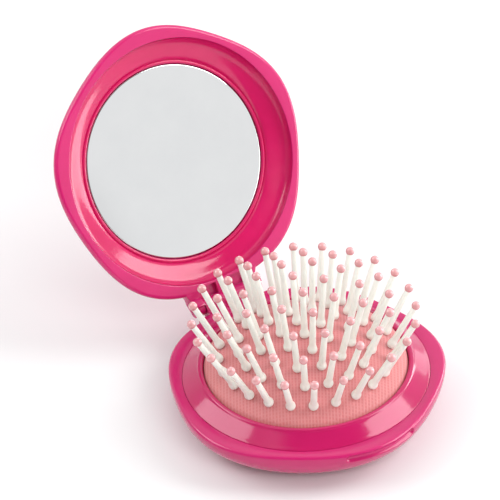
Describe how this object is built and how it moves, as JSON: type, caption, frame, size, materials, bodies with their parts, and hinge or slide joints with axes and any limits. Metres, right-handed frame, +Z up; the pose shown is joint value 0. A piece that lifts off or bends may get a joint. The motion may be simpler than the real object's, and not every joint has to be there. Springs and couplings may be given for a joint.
{
  "type": "folding hairbrush with mirror",
  "caption": "Round lobed clamshell compact that opens on a rear hinge to a mirror in the lid and a domed cushion of ball-tipped pins in the base.",
  "frame": {"origin": "centre of the standing ring under the base, in the plane of the table", "axes": "+Z up, +Y towards the hinge and the open lid, X along the hinge axis; the thumb notch faces -Y"},
  "size_m": [0.0724, 0.1147, 0.0776],
  "materials": {
    "case": "glossy moulded plastic",
    "collar": "glossy moulded plastic",
    "cushion_rubber": "fine woven grain",
    "hinge_steel": "drawn wire",
    "mirror_glass": "silvered glass",
    "adhesive_foam": "closed-cell foam",
    "pin_ivory": "satin nylon",
    "tip_pearl": "pearl lacquer"
  },
  "bodies": {
    "base": {"base_shell": "case", "cushion_collar": "collar", "cushion": "cushion_rubber", "hinge_pin": "hinge_steel"},
    "lid": {"lid_shell": "case", "mirror_frame": "collar", "mirror": "mirror_glass", "mirror_adhesive": "adhesive_foam"},
    "brush_middle": {"pins_middle": "pin_ivory", "tips_middle": "tip_pearl"},
    "brush_inner": {"pins_inner": "pin_ivory", "tips_inner": "tip_pearl"},
    "brush_centre": {"pins_centre": "pin_ivory", "tips_centre": "tip_pearl"},
    "brush_outer_1": {"pins_outer_1": "pin_ivory", "tips_outer_1": "tip_pearl"},
    "brush_outer_2": {"pins_outer_2": "pin_ivory", "tips_outer_2": "tip_pearl"},
    "brush_outer_3": {"pins_outer_3": "pin_ivory", "tips_outer_3": "tip_pearl"},
    "brush_outer_4": {"pins_outer_4": "pin_ivory", "tips_outer_4": "tip_pearl"},
    "brush_outer_5": {"pins_outer_5": "pin_ivory", "tips_outer_5": "tip_pearl"},
    "brush_outer_6": {"pins_outer_6": "pin_ivory", "tips_outer_6": "tip_pearl"},
    "brush_outer_7": {"pins_outer_7": "pin_ivory", "tips_outer_7": "tip_pearl"},
    "brush_outer_8": {"pins_outer_8": "pin_ivory", "tips_outer_8": "tip_pearl"}
  },
  "joints": [
    {"name": "lid_hinge", "type": "hinge", "parent": "base", "child": "lid", "pos_m": [0, 0.03846, 0.01228], "axis": [1, 0, 0], "range_deg": [0, 119.4]},
    {"name": "stow_middle", "type": "slide", "parent": "base", "child": "brush_middle", "axis": [0, 0, -1], "range_m": [0, 0.01872], "stiffness_N_per_m": 60, "deforming": ["cushion"]},
    {"name": "stow_inner", "type": "slide", "parent": "brush_middle", "child": "brush_inner", "axis": [0, 0, -1], "range_m": [0, 0.00229], "stiffness_N_per_m": 40},
    {"name": "stow_centre", "type": "slide", "parent": "brush_inner", "child": "brush_centre", "axis": [0, 0, -1], "range_m": [0, 0.00206], "stiffness_N_per_m": 30},
    {"name": "lean_outer_1", "type": "hinge", "parent": "brush_middle", "child": "brush_outer_1", "pos_m": [0.02201, 0.00669, 0.01233], "axis": [0.2907, -0.9568, 0], "range_deg": [0, 14.37], "stiffness_Nm_per_rad": 0.003},
    {"name": "lean_outer_2", "type": "hinge", "parent": "brush_middle", "child": "brush_outer_2", "pos_m": [0.01083, 0.02029, 0.01233], "axis": [0.8821, -0.471, 0], "range_deg": [0, 14.37], "stiffness_Nm_per_rad": 0.003},
    {"name": "lean_outer_3", "type": "hinge", "parent": "brush_middle", "child": "brush_outer_3", "pos_m": [-0.00669, 0.02201, 0.01233], "axis": [0.9568, 0.2907, 0], "range_deg": [0, 14.37], "stiffness_Nm_per_rad": 0.003},
    {"name": "lean_outer_4", "type": "hinge", "parent": "brush_middle", "child": "brush_outer_4", "pos_m": [-0.02029, 0.01083, 0.01233], "axis": [0.471, 0.8821, 0], "range_deg": [0, 14.37], "stiffness_Nm_per_rad": 0.003},
    {"name": "lean_outer_5", "type": "hinge", "parent": "brush_middle", "child": "brush_outer_5", "pos_m": [-0.02201, -0.00669, 0.01233], "axis": [-0.2907, 0.9568, 0], "range_deg": [0, 14.37], "stiffness_Nm_per_rad": 0.003},
    {"name": "lean_outer_6", "type": "hinge", "parent": "brush_middle", "child": "brush_outer_6", "pos_m": [-0.01083, -0.02029, 0.01233], "axis": [-0.8821, 0.471, 0], "range_deg": [0, 14.37], "stiffness_Nm_per_rad": 0.003},
    {"name": "lean_outer_7", "type": "hinge", "parent": "brush_middle", "child": "brush_outer_7", "pos_m": [0.00669, -0.02201, 0.01233], "axis": [-0.9568, -0.2907, 0], "range_deg": [0, 14.37], "stiffness_Nm_per_rad": 0.003},
    {"name": "lean_outer_8", "type": "hinge", "parent": "brush_middle", "child": "brush_outer_8", "pos_m": [0.02029, -0.01083, 0.01233], "axis": [-0.471, -0.8821, 0], "range_deg": [0, 14.37], "stiffness_Nm_per_rad": 0.003}
  ],
  "couplings": [
    {"joint": "stow_middle", "follows": "lid_hinge", "m_per_rad": 0.0089831},
    {"joint": "stow_inner", "follows": "lid_hinge", "m_per_rad": 0.0010989},
    {"joint": "stow_centre", "follows": "lid_hinge", "m_per_rad": 0.00098852},
    {"joint": "lean_outer_1", "follows": "lid_hinge", "ratio": 0.12035},
    {"joint": "lean_outer_2", "follows": "lid_hinge", "ratio": 0.12035},
    {"joint": "lean_outer_3", "follows": "lid_hinge", "ratio": 0.12035},
    {"joint": "lean_outer_4", "follows": "lid_hinge", "ratio": 0.12035},
    {"joint": "lean_outer_5", "follows": "lid_hinge", "ratio": 0.12035},
    {"joint": "lean_outer_6", "follows": "lid_hinge", "ratio": 0.12035},
    {"joint": "lean_outer_7", "follows": "lid_hinge", "ratio": 0.12035},
    {"joint": "lean_outer_8", "follows": "lid_hinge", "ratio": 0.12035}
  ]
}
